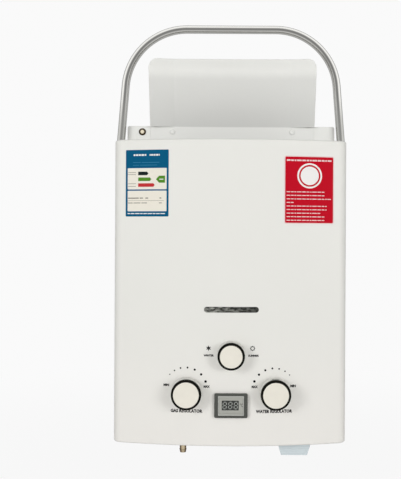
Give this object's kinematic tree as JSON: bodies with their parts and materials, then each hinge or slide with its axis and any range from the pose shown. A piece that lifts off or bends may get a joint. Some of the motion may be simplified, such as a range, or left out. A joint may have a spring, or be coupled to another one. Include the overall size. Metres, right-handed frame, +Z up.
{
  "type": "portable gas water heater",
  "caption": "Portable gas water heater: a bowed white case with a rain hood, folding carry handle, control knobs, display, burner, heat exchanger, valves and battery box.",
  "frame": {"origin": "midway between the round entries of the two wall keyholes, on the rear face of the back plate", "axes": "+X to the viewer's right when facing the front, +Y out of the back towards the wall, +Z up; the front faces -Y"},
  "size_m": [0.312, 0.1299, 0.5695],
  "materials": {
    "cover_enamel": "smooth white baked enamel on pressed steel",
    "sheet_enamel": "plain white paint on sheet steel",
    "zinc_sheet": "zinc-plated sheet steel",
    "stainless": "polished stainless steel",
    "bright_steel": "plated steel fasteners and shafts",
    "yellow_zinc": "yellow-passivated screw",
    "brass": "machined brass",
    "copper": "copper tube and fins with flux bloom",
    "die_cast": "die-cast aluminium",
    "burner_steel": "heat-tinted stainless sheet",
    "knob_black": "white moulded plastic with a satin black rim",
    "knob_white": "gloss white moulded plastic",
    "bezel_grey": "dark grey moulded plastic",
    "display_grey": "light grey display window",
    "circuit_board": "green circuit board",
    "battery_plastic": "pale blue-grey moulded plastic",
    "cell_wrap": "plain dark cell sleeve",
    "black_plastic": "black moulded plastic",
    "ceramic": "glazed ceramic",
    "rubber": "moulded rubber"
  },
  "bodies": {
    "root": {"front_cover": "cover_enamel", "back_plate": "sheet_enamel", "bottom_plate": "zinc_sheet", "top_panel": "zinc_sheet", "rain_hood": "sheet_enamel", "hood_screws": "sheet_enamel", "earth_screw": "yellow_zinc", "cover_screws": "bright_steel", "handle_bolts": "bright_steel", "handle_washers": "bright_steel", "handle_nuts": "bright_steel", "display_bezel": "bezel_grey", "display_window": "display_grey", "display_board": "circuit_board", "burner_frame": "zinc_sheet", "burner_bars": "burner_steel", "gas_manifold": "die_cast", "gas_jets": "brass", "combustion_chamber": "copper", "flame_sensor": "ceramic", "ignition_electrode": "ceramic", "chamber_bracket": "zinc_sheet", "overheat_sensor": "black_plastic", "heat_exchanger_fins": "copper", "exchanger_tubes": "copper", "flue_collector": "zinc_sheet", "gas_valve_body": "die_cast", "gas_solenoid": "black_plastic", "microswitch": "black_plastic", "season_valve": "die_cast", "water_valve_cover": "brass", "diaphragm": "rubber", "water_valve_body": "brass", "valve_screws": "bright_steel", "cold_inlet_fitting": "brass", "hot_outlet_fitting": "brass", "gas_inlet_fitting": "brass", "drain_plug": "brass", "cold_pipe": "copper", "hot_pipe": "copper", "battery_box": "battery_plastic", "lid_hinge_pin": "bright_steel", "batteries": "cell_wrap", "battery_contacts": "bright_steel", "igniter_box": "black_plastic"},
    "handle": {"carry_handle": "stainless"},
    "gas_knob": {"gas_knob_skirt": "knob_black", "gas_knob_cap": "knob_white", "gas_knob_shaft": "bright_steel"},
    "water_knob": {"water_knob_skirt": "knob_black", "water_knob_cap": "knob_white", "water_knob_shaft": "bright_steel"},
    "season_knob": {"season_knob_skirt": "knob_black", "season_knob_cap": "knob_white", "season_knob_shaft": "bright_steel"},
    "battery_lid": {"battery_lid": "battery_plastic", "lid_contacts": "bright_steel"},
    "push_rod": {"push_rod": "brass"}
  },
  "joints": [
    {"name": "handle_fold", "type": "hinge", "parent": "root", "child": "handle", "pos_m": [0, -0.0075, 0.01], "axis": [1, 0, 0], "range_deg": [-150, 20]},
    {"name": "gas_knob_turn", "type": "hinge", "parent": "root", "child": "gas_knob", "pos_m": [-0.0523, -0.11, -0.2801], "axis": [0, -1, 0], "range_deg": [-60, 60]},
    {"name": "water_knob_turn", "type": "hinge", "parent": "root", "child": "water_knob", "pos_m": [0.0557, -0.11, -0.2801], "axis": [0, -1, 0], "range_deg": [-60, 60]},
    {"name": "season_knob_turn", "type": "hinge", "parent": "root", "child": "season_knob", "pos_m": [0.0017, -0.11, -0.234], "axis": [0, -1, 0], "range_deg": [-45, 45]},
    {"name": "battery_lid_open", "type": "hinge", "parent": "root", "child": "battery_lid", "pos_m": [0.081, -0.013, -0.3494], "axis": [1, 0, 0], "range_deg": [0, 85]},
    {"name": "push_rod_slide", "type": "slide", "parent": "root", "child": "push_rod", "axis": [-1, 0, 0], "range_m": [0, 0.004], "stiffness_N_per_m": 200}
  ]
}
